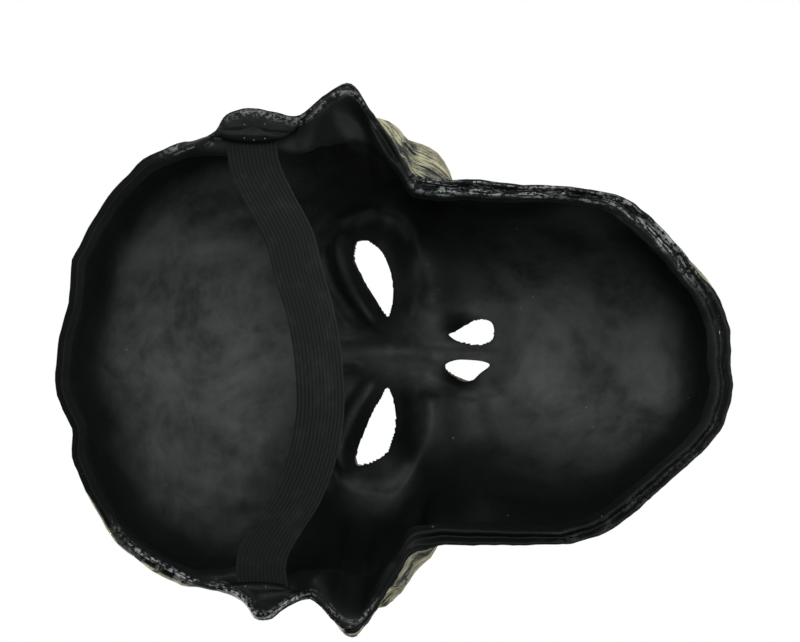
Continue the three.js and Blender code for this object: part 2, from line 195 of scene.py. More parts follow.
# The skin. Lengths in mm. Outlines run from crown to chin down one side: x, z and the width of the lip.
skin = {
    "thickness": 2.4,
    "faceDepth": 112,
    "centreZ": -5,
    "lipDepth": 6,
    "bellyDepth": 48,
    "crownFullness": 2.25,
    "chinFullness": 2.85,
    "around": 396,
    "lipRings": 16,
    "wallRings": 108,
    "tabHeight": 48,
    "tabHalf": 15,
    "tabRecess": 4.4,
    "crownRight": [(0, 125.8, 3), (9, 124.8, 3), (16, 122.8, 3), (27, 120, 3), (39, 120.2, 3),
                   (45, 117.2, 3), (55.4, 111.2, 3), (67.4, 103.9, 3), (75.9, 95.5, 3.5), (82, 86.2, 4),
                   (86.8, 75.5, 5)],
    "crownLeft": [(0, 125.8, 3), (9, 126, 3), (16, 124.5, 3), (26, 120.3, 3), (38, 119.2, 3), (44, 116.8, 3),
                  (55, 111.9, 3), (66.5, 105.6, 3), (76.1, 96.4, 3.5), (82.1, 86.2, 4), (87.2, 75.7, 5)],
    "lobeRight": [(90, 67.5, 9), (93.6, 63.8, 12), (98.8, 60.6, 16), (101.6, 54, 18.5), (101.8, 47, 19),
                  (100.2, 39, 18), (99, 32, 15), (101, 27.2, 15), (105.4, 22.4, 18), (111.8, 12, 22),
                  (109.6, 8.0, 21)],
    "lobeLeft": [(90.6, 67.5, 9), (92.7, 62, 12), (94.4, 56.3, 14), (98.4, 51.5, 16.5), (103.2, 47.9, 19),
                 (103.5, 42.4, 19), (99.8, 37, 16.5), (96.9, 31, 13), (95.3, 26.4, 12), (97.8, 22, 14),
                 (103, 17.2, 18), (107.3, 12, 20), (106.2, 7.2, 19)],
    "jawRight": [(102.6, 3, 15), (94, -3, 11.5), (84, -9.4, 9), (76.4, -14.6, 8.5), (73.6, -21, 8.5),
                 (73.2, -40, 9), (71.9, -58, 9), (70.5, -76, 9), (68.3, -92, 9), (65, -101.7, 8.5),
                 (56.6, -112, 8.5), (46.5, -121.3, 8.5), (35.4, -130.5, 8.5), (26.8, -136.8, 8.5),
                 (13.7, -142, 8.5), (0, -142.7, 8.5)],
    "jawLeft": [(101.8, 2.8, 15), (92.6, -3.6, 11.5), (83, -10, 9), (76, -14.8, 8.5), (73.8, -21, 8.5),
                (73.6, -40, 9), (73.2, -58, 9), (72.9, -76, 9), (70.2, -89, 9), (64.7, -98.4, 8.5),
                (55.5, -110, 8.5), (45.5, -121, 8.5), (34.8, -132, 8.5), (26.6, -138.9, 8.5),
                (14, -143, 8.5)],
    # Where the painted side stands out past the cut edge: angle, half its width in radians, how far in mm
    "swell": [(0.72, 0.2, 1.2), (0.47, 0.1, 1.0), (0.06, 0.15, 3.4), (-0.14, 0.13, 3.2), (0.03, 0.13, 1.3),
              (3.12, 0.15, 1.9), (2.36, 0.16, 0.6), (-1.74, 0.12, 1.8), (-0.6, 0.05, 0.7),
              (-1.12, 0.04, 0.6)],
    # The widest part of the walls, x and z
    "bellyRight": [(0, 127.6), (28, 123.6), (50, 116.4), (64, 109), (77, 98), (88.5, 83), (93.5, 66),
                   (95.5, 45), (97, 22), (96.5, 4), (92, -10), (91, -16), (89.6, -21), (86.8, -25.6),
                   (80.6, -29.5), (73.5, -32.5), (71.2, -38), (70.5, -46), (70, -64), (67, -86), (55, -112),
                   (33, -137), (0, -146.6)],
    "bellyLeft": [(28, 124), (50, 117), (64, 110), (77, 99), (88.5, 83.5), (93.5, 66), (95.5, 45), (98, 22),
                  (99, 4), (94, -10), (88.5, -16), (82.5, -21.5), (76.5, -26), (72.8, -31), (71.3, -38),
                  (70.5, -46), (70.5, -64), (67.5, -86), (56, -112), (34, -137)],
    "eyeRight": [(-15.3, -4.7), (-16.2, -3.4), (-24.5, 2.3), (-34.2, 8), (-40.3, 10.6), (-45, 10), (-48.8, 9),
                 (-49.4, 4.9), (-47.3, 1), (-41.6, -3.9), (-33.3, -6.9), (-24.5, -7.4), (-18, -6.1)],
    "eyeLeft": [(15.3, -4.3), (19.3, -1.7), (25, 1.8), (34.6, 6.2), (40.7, 8.8), (47.5, 9.8), (49.6, 8.6),
                (48.4, 3), (45, -2.8), (42.6, -5.8), (39.2, -6.7), (33.3, -8.2), (25.4, -8.2), (19.3, -6.9)],
    "nostrilRight": [(-8.1, -31.4), (-9.9, -34.8), (-13.3, -40), (-14.6, -45), (-13.4, -50), (-11, -51.4),
                     (-6, -51), (-4.1, -48.6), (-3.3, -44), (-4.1, -38.4), (-5.4, -34.4)],
    "nostrilLeft": [(5.8, -30.2), (3.6, -34.6), (3.4, -40.8), (4.3, -47.4), (5.6, -49.6), (9.2, -45.3),
                    (12.6, -41.6), (13, -37.8), (11, -34), (8.6, -31)],
}


def curveThrough(points, closed=True, steps=24):
    # Centripetal Catmull-Rom through the points, with any further columns carried along
    p = np.asarray(points, float)
    n = len(p)
    out = []
    for i in range(n if closed else n - 1):
        ids = np.arange(i - 1, i + 3)
        a, b, c, d = p[ids % n if closed else np.clip(ids, 0, n - 1)]
        if not closed and i == 0:
            a = 2 * b - c
        if not closed and i == n - 2:
            d = 2 * c - b
        t0 = 0.0
        t1 = t0 + np.linalg.norm((b - a)[:2]) ** 0.5
        t2 = t1 + np.linalg.norm((c - b)[:2]) ** 0.5
        t3 = t2 + np.linalg.norm((d - c)[:2]) ** 0.5
        for t in np.linspace(t1, t2, steps, endpoint=False):
            a1 = (t1 - t) / (t1 - t0) * a + (t - t0) / (t1 - t0) * b
            a2 = (t2 - t) / (t2 - t1) * b + (t - t1) / (t2 - t1) * c
            a3 = (t3 - t) / (t3 - t2) * c + (t - t2) / (t3 - t2) * d
            b1 = (t2 - t) / (t2 - t0) * a1 + (t - t0) / (t2 - t0) * a2
            b2 = (t3 - t) / (t3 - t1) * a2 + (t - t1) / (t3 - t1) * a3
            out.append((t2 - t) / (t2 - t1) * b1 + (t - t1) / (t2 - t1) * b2)
    if not closed:
        out.append(p[-1])
    return np.array(out)


def byAngle(outline, s):
    # The outline as radius and lip width against the angle about the face's centre
    c = curveThrough([(x, z - s["centreZ"], *rest) for x, z, *rest in outline])
    angle = np.arctan2(c[:, 1], c[:, 0])
    order = np.argsort(angle)
    radius = np.hypot(c[:, 0], c[:, 1])[order]
    lip = c[order, 2] if c.shape[1] > 2 else radius * 0
    angle = angle[order]

    def at(a):
        wrapped = np.arctan2(np.sin(a), np.cos(a))
        return [np.interp(wrapped, angle, column, period=2 * np.pi) for column in (radius, lip)]
    return at


def mirrored(points):
    return [(-x, z, *rest) for x, z, *rest in points]


def latticeNoise(p, seed):
    # Smooth noise from -1 to 1 on a unit lattice
    table = np.random.default_rng(seed).uniform(-1, 1, 4096)
    cell = np.floor(p).astype(np.int64)
    part = p - cell
    part = part * part * (3 - 2 * part)
    total = np.zeros(p.shape[:-1])
    for corner in range(8):
        step = np.array([corner & 1, corner >> 1 & 1, corner >> 2 & 1])
        key = (cell + step) @ np.array([73856093, 19349663, 83492791])
        weight = np.prod(np.where(step == 1, part, 1 - part), axis=-1)
        total += table[key % 4096] * weight
    return total


def roughNoise(p, size, seed, octaves=3):
    total = np.zeros(p.shape[:-1])
    for k in range(octaves):
        total += latticeNoise(p / size * 2 ** k + 17.3 * k, seed + k) / 2 ** k
    return total


def blob(x, z, cx, cz, rx, rz, turn=0, steep=1):
    a = np.radians(turn)
    dx = x - cx
    dz = z - cz
    q = ((dx * np.cos(a) + dz * np.sin(a)) / rx) ** 2 + ((dz * np.cos(a) - dx * np.sin(a)) / rz) ** 2
    return np.exp(-q ** steep)


def awayFrom(x, z, path):
    # Distance to a path, and how far along it that is, from 0 to 1
    best = np.full(x.shape, 1e9)
    where = np.zeros(x.shape)
    p = np.asarray(path, float)
    lengths = np.concatenate([[0], np.cumsum(np.hypot(*np.diff(p[:, :2], axis=0).T))])
    for i in range(len(p) - 1):
        d = p[i + 1, :2] - p[i, :2]
        size = max(d @ d, 1e-9)
        t = np.clip(((x - p[i, 0]) * d[0] + (z - p[i, 1]) * d[1]) / size, 0, 1)
        gap = np.hypot(x - p[i, 0] - t * d[0], z - p[i, 1] - t * d[1])
        closer = gap < best
        best = np.where(closer, gap, best)
        where = np.where(closer, (lengths[i] + t * (lengths[i + 1] - lengths[i])) / lengths[-1], where)
    return best, where


def ridge(x, z, path, width, smoothPath=True):
    route = curveThrough(path, closed=False, steps=8) if smoothPath else path
    gap, where = awayFrom(x, z, route)
    return np.exp(-(gap / width) ** 2) * smooth(where / 0.12) * smooth((1 - where) / 0.12)


# Relief that both sides of the latex share, mirrored: kind, where, size and how far it stands forward
bones = [
    ("ridge", [(4, 12), (14, 13), (27, 20), (42, 25), (54, 19), (60, 6), (59, -8)], 6.5, 8),
    ("blob", (0, 22, 12, 13, 0), 1, 4),
    ("blob", (33, -1, 23, 16, 20), 1.5, -16),
    ("blob", (0, -8, 7.5, 17, 0), 1, 9),
    ("blob", (0, -42, 17, 17, 0), 2, -6),
    ("blob", (9, -42, 8, 12, 0), 1.5, -4.5),
    ("ridge", [(15, -22), (30, -23), (47, -19), (62, -10), (78, 1)], 7.5, 8),
    ("blob", (28, -42, 11, 12, -20), 1, -4),
    ("blob", (51, -60, 14, 26, -12), 1, -8),
    ("blob", (0, -82, 40, 24, 0), 1.5, 6),
    ("blob", (0, -130, 24, 11, 0), 1, 7),
    ("blob", (17, -133, 8, 7, 0), 1, 3),
    ("blob", (74, 42, 13, 26, 0), 1, -7),
    ("blob", (30, 72, 22, 18, 0), 1, 3),
    ("ridge", [(60, 26), (66, 44), (63, 66), (50, 86)], 4, 1.8),
]
# Folds round the eyes and the nose in the same form, which show inside as ribs
folds = [
    ("ridge", [(12, 1), (22, 8.5), (33, 14), (45, 17.5), (53, 14)], 1.6, -3.4),
    ("ridge", [(10, 8), (21, 16), (35, 24), (51, 27), (62, 18)], 2.0, -2.2),
    ("ridge", [(56, 12), (60, 2), (57, -9), (48, -15)], 2.2, -1.8),
    ("ridge", [(16, -13), (28, -16), (42, -14)], 2.4, 1.8),
    ("ridge", [(3, -20), (2.5, -44), (3, -58)], 1.7, -1.6),
    ("ridge", [(15, -28), (19, -40), (16, -54)], 2.2, -1.4),
    ("blob", (12, -35, 6, 7, 0), 1.5, 2.6),
]

# The same for the side walls, where each place starts with y, and the last number is how far it stands out
sideBones = [
    ("ridge", [(-92, -18), (-74, -13), (-52, -6), (-30, 2), (-16, 6)], 6, 4.2),
    ("blob", (-60, 16, 22, 13, 0), 1, -3.5),
    ("ridge", [(-84, 32), (-74, 54), (-54, 72), (-28, 80)], 3.6, 1.8),
    ("blob", (-22, 24, 13, 12, 0), 1, -2.2),
    ("ridge", [(-22, -32), (-19, -56), (-26, -80), (-44, -102), (-66, -120)], 6.5, 2.2),
    ("blob", (-58, -52, 21, 21, 0), 1, -5),
    ("blob", (-26, -12, 9, 6, 0), 1, -2.2),
]


def reliefOf(features, x, z, mirror=True):
    if mirror:
        x = np.sqrt(x * x + 1.5)
    total = np.zeros(x.shape)
    for kind, where, size, forward in features:
        total += forward * (ridge(x, z, where, size) if kind == "ridge" else blob(x, z, *where, steep=size))
    return total


teeth = {
    "widths": [8.6, 7.0, 7.8, 6.8, 6.2, 5.4],  # from the middle out, as they look from the front
    "upper": {"edge": -84.5, "height": 17.5, "stand": 4.6, "root": 1},
    "lower": {"edge": -87.5, "height": 15.5, "stand": 4.0, "root": -1},
    "lowerWidth": 0.93,
    "smile": 6.5,
    "halfArch": 42,
    "gap": 0.5,
    "uneven": [(-0.5, 0.5), (-0.9, 0.9), (0.85, 1.12)],  # lean, extra height, share of the stand
}


def toothRows(x, z, s):
    # Height of the teeth and their roots, and how far a point lies in the gaps between them
    height = np.zeros(x.shape)
    covered = np.zeros(x.shape)
    zone = np.zeros(x.shape)
    arch = s["halfArch"]
    for key, seedShift in (("upper", 0), ("lower", 40)):
        row = s[key]
        draws = np.random.default_rng(7 + seedShift)
        for side in (1, -1):
            start = 0.0
            for width in s["widths"]:
                width = width * (s["lowerWidth"] if key == "lower" else 1)
                middle = start + width / 2
                start += width + s["gap"]
                lean, longer, stand = [draws.uniform(*span) for span in s["uneven"]]
                edge = row["edge"] + s["smile"] * (middle / arch) ** 2
                tall = (row["height"] + longer) * (1 - 0.22 * middle / arch)
                cz = edge + row["root"] * tall / 2
                u = (x * side - middle - lean * 0.4) / (width / 2)
                v = (z - cz) / (tall / 2)
                narrow = 1 - 0.14 * np.clip(v * row["root"], -1, 1)
                q = (np.abs(u / narrow) ** 3.4 + np.abs(v) ** 4.2) ** (1 / 3.8)
                crown = smooth((1.06 - q) / 0.36) * (1 + 0.16 * (1 - np.clip(u, -1, 1) ** 2))
                height = np.maximum(height, row["stand"] * stand * crown * (1 - 0.45 * (middle / arch) ** 2))
                covered = np.maximum(covered, smooth((1.1 - q) / 0.2))
                away = (z - cz) * row["root"] - tall * 0.42
                root = np.exp(-((x * side - middle) / (width * 0.36)) ** 2) * smooth(away / 3)
                height += 1.5 * (root * np.exp(-np.clip(away, 0, None) / 7))
                zone = np.maximum(zone, np.exp(-(np.abs(u) / 1.25) ** 4) * np.exp(-(v / 1.12) ** 6))
    mouthLine = np.exp(-((z + 86 - s["smile"] * (x / arch) ** 2) / 1.6) ** 2) * smooth((45 - np.abs(x)) / 5)
    return height, np.clip(zone - covered, 0, 1), np.clip(mouthLine, 0, 1)


frontCrackEnds = [
    ((-34, 118), (-8, 62)), ((-16, 84), (-30, 58)), ((22, 112), (50, 74)), ((40, 92), (66, 92)),
    ((-58, 96), (-72, 60)), ((62, 64), (76, 44)), ((-46, -26), (-60, -42)), ((40, -30), (36, -50)),
    ((-30, -114), (-44, -98)), ((12, -112), (20, -128)), ((2, 60), (8, 34)), ((48, 54), (60, 40)),
    ((-8, 84), (6, 104)), ((-64, 34), (-50, 52)),
]
# On the side walls, as y and z, for the wearer's left (1) and right (-1)
sideCrackEnds = {
    1: [((-34, 100), (-66, 62)), ((-50, 84), (-30, 66)), ((-72, -24), (-52, -14)), ((-40, -84), (-64, -104)),
        ((-30, -44), (-40, -70))],
    -1: [((-28, 92), (-58, 78)), ((-44, 84), (-52, 52)), ((-66, -20), (-40, -10)), ((-30, -96), (-58, -112)),
         ((-34, -40), (-52, -64)), ((-20, 66), (-34, 48))],
}
# Where the dark wash was left to pool: place, steepness and how strong. On the walls: place and how strong
washPlaces = [
    ((33, -1, 20, 13.5, 20), 1.6, 1.05), ((0, -43, 15.5, 14.5, 0), 2, 1.0), ((51, -58, 12, 22, -12), 1, 0.5),
    ((0, -112, 30, 5, 0), 1, 0.4), ((27, -42, 9, 11, -20), 1, 0.42), ((5, 11, 6, 4, 0), 1, 0.55),
    ((30, -31, 18, 3.5, -6), 1, 0.4), ((14, -20, 3, 9, -20), 1, 0.3),
]
sideWashPlaces = [((-60, 17, 20, 11, 0), 0.42), ((-58, -50, 19, 19, 0), 0.52), ((-26, -12, 8, 5, 0), 0.3),
                  ((-22, 24, 12, 10, 0), 0.35), ((-50, -17, 26, 4, 14), 0.22)]


def crackPaths(ends, seed):
    # Each crack wanders between its two ends
    draws = np.random.default_rng(seed)
    paths = []
    for start, end in ends:
        start, end = np.array(start, float), np.array(end, float)
        count = max(4, int(np.linalg.norm(end - start) / 4))
        across = np.array([end[1] - start[1], start[0] - end[0]]) / np.linalg.norm(end - start)
        wander = np.cumsum(draws.uniform(-1.6, 1.6, count))
        wander = wander - np.linspace(wander[0], wander[-1], count)
        paths.append([tuple(start + (end - start) * k / (count - 1) + across * wander[k])
                      for k in range(count)])
    return paths


def cracksAt(x, z, ends, seed, width):
    return sum(ridge(x, z, path, width, smoothPath=False) for path in crackPaths(ends, seed))


def skinRings(s):
    # Where each ring of the grid lies: 0 to 1 across the lip, then 1 to 2 up the wall to the face's centre
    lip = np.linspace(0, 1, s["lipRings"], endpoint=False)
    t = np.linspace(0, 1, s["wallRings"], endpoint=False)
    return np.concatenate([lip, 2 - (1 - t) ** 1.25])


def skinAngles(s, rimAt):
    # Steps round the rim, closer together over the teeth, the eyes and the tabs
    fine = np.linspace(-np.pi, np.pi, 5761)
    radius, lip = rimAt(fine)
    x, z = radius * np.cos(fine), s["centreZ"] + radius * np.sin(fine)
    step = np.hypot(np.diff(x), np.diff(z))
    middle = (z[1:] + z[:-1]) / 2
    denser = 1 + 0.9 * smooth((-45 - middle) / 20)
    denser = denser + 0.5 * smooth((75 - middle) / 10) * smooth((middle + 20) / 10)
    along = np.concatenate([[0], np.cumsum(step * denser)])
    return np.interp(np.linspace(0, along[-1], s["around"], endpoint=False), along, fine)


def dishAt(across, lip, z):
    # The broad flange at each cheek tip sinks towards the wall
    return 15 * smooth((across * lip - 2) / 19) * smooth((lip - 10) / 8) * smooth((34 - z) / 8)


def lipDepthAt(across, lip, z, s):
    # Depth of the lip across its width: a rounded cut edge, a channel round the jaw, the turn into the wall
    rounding = 0.9 * (1 - smooth(across * lip / 0.9))
    turnWidth = np.minimum(4 + 9 * smooth((lip - 11) / 8), lip * 0.75)
    turn = np.clip(1 - (1 - across) * lip / turnWidth, 0, 1)
    plain = smooth((z - 64) / 14)
    rise = (1 - plain) * (1 - np.sqrt(1 - turn ** 2)) + plain * np.clip(across, 0, 1) ** 0.9
    jaw = smooth((-12 - z) / 14)
    channel = (2.6 * jaw + 0.3) * np.exp(-((across * lip - 3.7) / 1.5) ** 2) * smooth((lip - 4) / 3)
    bead = -0.5 * jaw * np.exp(-((across * lip - 1.2) / 0.6) ** 2)
    return rounding + s["lipDepth"] * rise + dishAt(across, lip, z) + channel * (1 - plain) + bead


def buildSkin(s):
    left = s["crownLeft"] + s["lobeLeft"] + s["jawLeft"]
    right = s["crownRight"][1:] + s["lobeRight"] + s["jawRight"]
    rimAt = byAngle(left + mirrored(right[::-1]), s)
    bellyAt = byAngle(s["bellyLeft"] + mirrored(s["bellyRight"][::-1]), s)
    rings, angles = skinRings(s), skinAngles(s, rimAt)
    ring, angle = np.meshgrid(rings, angles, indexing="ij")
    edge, lip = rimAt(angle)
    belly = bellyAt(angle)[0]
    toX, toZ = np.cos(angle), np.sin(angle)
    trim = np.stack([toX * edge, toZ * edge, edge * 0], -1)
    edge = edge + 0.5 * roughNoise(trim, 9, 3) + 0.16 * roughNoise(trim, 2.2, 8, 2)
    onLip = ring <= 1
    across = np.clip(ring, 0, 1)
    rimZ = s["centreZ"] + edge * toZ
    turn = np.clip(ring - 1, 0, 1) * np.pi / 2
    fullness = s["crownFullness"] + (s["chinFullness"] - s["crownFullness"]) * smooth(0.5 - toZ / 2)
    inward = np.cos(turn) ** (2 / fullness)
    rise = np.sin(turn) ** (2 / fullness)
    foot = s["lipDepth"] + dishAt(1, lip, rimZ)
    depth = np.where(onLip, lipDepthAt(across, lip, rimZ, s), foot + (s["faceDepth"] - foot) * rise)
    wallStart = edge - lip
    flare = smooth((depth - foot) / (s["bellyDepth"] - foot))
    radius = np.where(onLip, edge - across * lip, (wallStart + (belly - wallStart) * flare) * inward)
    x, z = radius * toX, s["centreZ"] + radius * toZ
    fade = np.where(onLip, 0, smooth((1 - inward) / 0.16))
    forward = fade * (reliefOf(bones, x, z) + reliefOf(folds, x, z))
    past = np.abs(z - s["tabHeight"]) - s["tabHalf"]
    recess = s["tabRecess"] * (1 - smooth(past / 9)) * smooth((np.abs(x) - 68) / 9)
    recess = recess * (1 - smooth((depth - s["lipDepth"]) / s["lipDepth"]))
    inner = np.stack([x, -depth - forward - recess, z], -1)
    # A raised oval on the wearer's right cheek flange, and a groove beside the lip below it
    inner[..., 1] += 1.9 * blob(x, z, -94, 10.4, 9.5, 4, -41.5, 4) * smooth((-x - 60) / 10)
    inner[..., 1] -= 2.4 * ridge(x, z, [(-98, 2), (-90, -3.5), (-80, -9)], 1.7)
    inner[..., 1] -= 1.2 * ridge(x, z, [(95, 2), (86, -3.5), (77, -9)], 2.0)
    # Hollows and swellings of the walls, along the way out
    outward = wayOut(inner)
    sideways = smooth((ring - 1.04) / 0.1) * smooth((1.75 - ring) / 0.25)
    y = inner[..., 1]
    walls = reliefOf(sideBones, y, z, mirror=False) * sideways * smooth((np.abs(x) - 40) / 20)
    ripple = 0.45 * roughNoise(inner, 26, 11) + 0.12 * roughNoise(inner, 7, 21)
    calm = np.where(onLip, 0.35, 1)
    inner = inner + outward * (walls + ripple * calm)[..., None]
    outward = evenedOut(wayOut(inner), ring)
    # The cast side: teeth, cracks and a bone's pitted surface
    row, gaps, mouthLine = toothRows(x, z, teeth)
    facing = smooth((-outward[..., 1] - 0.3) / 0.3)
    frontCracks = cracksAt(x, z, frontCrackEnds, 19, 1.7) * facing
    sideCracks = 0
    for sign in (1, -1):
        found = cracksAt(y, z, sideCrackEnds[sign], 23 + sign, 1.9)
        sideCracks = sideCracks + found * (x * sign > 0) * smooth((np.abs(outward[..., 0]) - 0.35) / 0.25)
    steps = np.linalg.norm(np.diff(inner, axis=0), axis=-1)
    rise = np.concatenate([np.zeros((1, len(angles))), np.cumsum(steps, axis=0)])
    rim = np.stack([edge * toX, edge * toZ, np.where(onLip, across * lip, rise)], -1)
    upWall = rise - lip
    strokes = roughNoise(rim / [19, 19, 2.3], 1, 61, 2) * smooth(upWall / 8) * smooth((50 - upWall) / 20)
    strokes = strokes * smooth((40 - z) / 20) * smooth((z + 125) / 20)
    cracks = np.clip(frontCracks + sideCracks, 0, 1)
    pits = roughNoise(inner, 5, 51)
    detail = 0.45 * roughNoise(inner, 13, 41) + 0.28 * pits * fade
    reach = s["thickness"] + 0.3 * np.where(onLip, 0, detail) - 0.7 * cracks * ~onLip + 0.6 * strokes
    outer = inner + outward * reach[..., None]
    outer[..., 1] -= fade * (row * 0.95 - 1.6 * gaps - 1.9 * mouthLine)
    # Places where the painted side stands out past the cut edge
    away = [np.abs(np.arctan2(np.sin(angle - c), np.cos(angle - c))) for c, half, out in s["swell"]]
    swell = sum(out * smooth((half - gap) / 0.07) for gap, (c, half, out) in zip(away, s["swell"]))
    swell = 0.15 + swell * np.where(onLip, 1, 0.5 * smooth((1.3 - ring) / 0.3) + 0.5)
    swell = swell * np.where(onLip, 1, smooth((1.35 - ring) / 0.3)) * (1 + 0.2 * roughNoise(trim, 3.2, 91, 2))
    outer[..., 0] += swell * toX
    outer[..., 2] += swell * toZ
    hollow = sum(amount * blob(np.abs(x), z, *where, steep=steep) for where, steep, amount in washPlaces)
    hollow = hollow * fade * facing
    sideHollow = sum(amount * blob(y, z, *where) for where, amount in sideWashPlaces) * sideways
    sideHollow = sideHollow * smooth((np.abs(x) - 40) / 20)
    dark = hollow + sideHollow + fade * (gaps + 0.9 * mouthLine) + 0.38 * cracks + 0.3 * np.clip(-pits, 0, 1)
    dark = np.clip(dark + 0.5 * np.clip(-strokes, 0, 1), 0, 1)
    tooth = np.clip(fade * row / 4, 0, 1)
    # Grey bloom weight, partly painted light and painted shade
    bloomAndPaintedLight = bloomAndLightWeight(inner, edge - radius)
    return {"inner": inner, "outer": outer, "ring": ring, "lip": lip, "dark": dark, "tooth": tooth,
            "across": across, "rim": rim, "upWall": upWall, "bloomAndPaintedLight": bloomAndPaintedLight}


def wayOut(grid):
    # Unit normals that point out of the mask's painted side
    along = np.gradient(grid, axis=0)
    around = np.roll(grid, -1, axis=1) - np.roll(grid, 1, axis=1)
    return unit(np.cross(around, along))


def evenedOut(normals, ring):
    # On the lip the way out is evened across, so that the two sides stay apart where it is creased
    spare, passes = 20, 40
    even = np.concatenate([normals[:1]] * spare + [normals])
    for _ in range(passes):
        even[1:-1] = (even[:-2] + 2 * even[1:-1] + even[2:]) / 4
    share = smooth((1.14 - ring) / 0.12)[..., None]
    return unit(normals * (1 - share) + even[spare:] * share)


# Grey bloom on the bare side, laid heaviest on the broad middles of the crown and jaw that face the light, so
# it is partly painted light: place, steepness and how strong. The lip stays black, and the deep corners stay
# black as painted shade.
bloomAndLightPlaces = [
    ((-12, 80, 91, 53, 0), 2.2, 0.66), ((-4, -97, 51, 65, 0), 2, 0.71), ((0, -16, 14, 20, 0), 1.5, 0.42),
    ((56, 0, 13, 15, 0), 1.5, 0.5), ((-30, -22, 16, 8, 0), 1.5, 0.3), ((30, -24, 16, 8, 0), 1.5, 0.25),
    ((-30, 88, 44, 28, 0), 1.2, 0.14), ((-90, 20, 120, 200, 0), 3, 0.12), ((-94, 10.4, 9, 4, -41.5), 4, 0.22),
]


def bloomAndLightWeight(points, fromRim):
    x, z = points[..., 0], points[..., 2]
    total = sum(amount * blob(x, z, *where, steep=steep) for where, steep, amount in bloomAndLightPlaces)
    # The pits beside the nostrils and the middle of the nose get less grey, a painted shade
    total = np.clip(total, 0, 1) * (1 - 0.95 * blob(np.abs(x), z, 11.5, -35, 7.5, 8, 0, 2))
    total = total * (1 - 0.45 * blob(x, z, 0, -44, 5.5, 13, 0, 2))
    # Fold crests get more grey, a painted highlight
    crests = -reliefOf(folds, x, z) / 3
    total = total + 0.36 * np.clip(crests, 0, 1)
    return np.clip(total, 0, 1) * (0.12 + 0.88 * smooth((fromRim - 5) / 11))


openingsBehind = -60  # y in mm: the eye and nose openings lie deeper than this


def insideOutline(x, z, outline):
    inside = np.zeros(x.shape, bool)
    n = len(outline)
    for i in range(n):
        (x1, z1), (x2, z2) = outline[i], outline[(i + 1) % n]
        crossing = (z1 > z) != (z2 > z)
        inside ^= crossing & (x < (x2 - x1) * (z - z1) / (z2 - z1 + 1e-12) + x1)
    return inside


def alongOutline(points, outline):
    # How far round the outline the nearest place to each point is
    step = np.roll(outline, -1, axis=0) - outline
    length = np.linalg.norm(step, axis=1)
    start = np.concatenate([[0], np.cumsum(length)])
    t = np.clip(((points[:, None] - outline) * step).sum(-1) / length ** 2, 0, 1)
    gap = np.linalg.norm(points[:, None] - outline - t[..., None] * step, axis=-1)
    pick = gap.argmin(1)
    return start[pick] + t[np.arange(len(points)), pick] * length[pick], start[-1]


def trimHole(inner, outer, shape, quads, cut, hole):
    # Move the grid's ragged edge onto the outline in even steps, then ease the grid round it
    links = {}
    for a, b, c, d in quads[cut]:
        for start, end in ((a, b), (b, c), (c, d), (d, a)):
            links[(start, end)] = True
    chain = {a: b for a, b in links if (b, a) not in links}
    loop = [next(iter(chain))]
    while chain[loop[-1]] != loop[0]:
        loop.append(chain[loop[-1]])
    loop = np.array(loop)
    where, total = alongOutline(inner[loop][:, [0, 2]], hole)
    turn = np.diff(where, append=where[0])
    turn = (turn + total / 2) % total - total / 2
    where = where[0] + np.concatenate([[0], np.cumsum(turn)[:-1]])
    trend = np.linspace(0, np.sign(turn.sum()) * total, len(loop), endpoint=False)
    drift = where - trend
    for _ in range(14):
        drift = (np.roll(drift, 1) + 2 * drift + np.roll(drift, -1)) / 4
    where = (trend + drift) % total
    length = np.linalg.norm(np.roll(hole, -1, axis=0) - hole, axis=1)
    start = np.concatenate([[0], np.cumsum(length)])
    closed = np.vstack([hole, hole[:1]])
    spots = np.stack([np.interp(where, start, closed[:, k]) for k in (0, 1)], 1)
    rings, around = shape
    inside = np.zeros(rings * around, bool)
    inside[np.setdiff1d(quads[cut], loop)] = True
    fixed = np.zeros(rings * around, bool)
    fixed[loop] = True
    middle = hole.mean(0)
    reach = np.abs(hole - middle).max(0) + 7
    shift = spots - inner[loop][:, [0, 2]]
    for side in (inner, outer):
        normal = wayOut(side[:-1].reshape(rings, around, 3)).reshape(-1, 3)[loop]
        slope = -(normal[:, 0] * shift[:, 0] + normal[:, 2] * shift[:, 1]) / np.minimum(normal[:, 1], -0.3)
        side[loop, 0] += shift[:, 0]
        side[loop, 2] += shift[:, 1]
        side[loop, 1] += np.clip(slope, -1.5, 1.5)
        grid = side[:-1].reshape(rings, around, 3)
        near = (np.abs(grid[..., [0, 2]] - middle) < reach).all(-1)
        free = (near & (grid[..., 1] < openingsBehind)).ravel() & ~inside & ~fixed
        used = (~inside).reshape(rings, around)[..., None].astype(float)
        for _ in range(6):
            grid = side[:-1].reshape(rings, around, 3)
            total3 = sum(np.roll(grid * used, k, axis) for axis in (0, 1) for k in (1, -1))
            weight = sum(np.roll(used, k, axis) for axis in (0, 1) for k in (1, -1))
            eased = (total3 / np.maximum(weight, 1)).reshape(-1, 3)
            side[:-1][free] = eased[free]


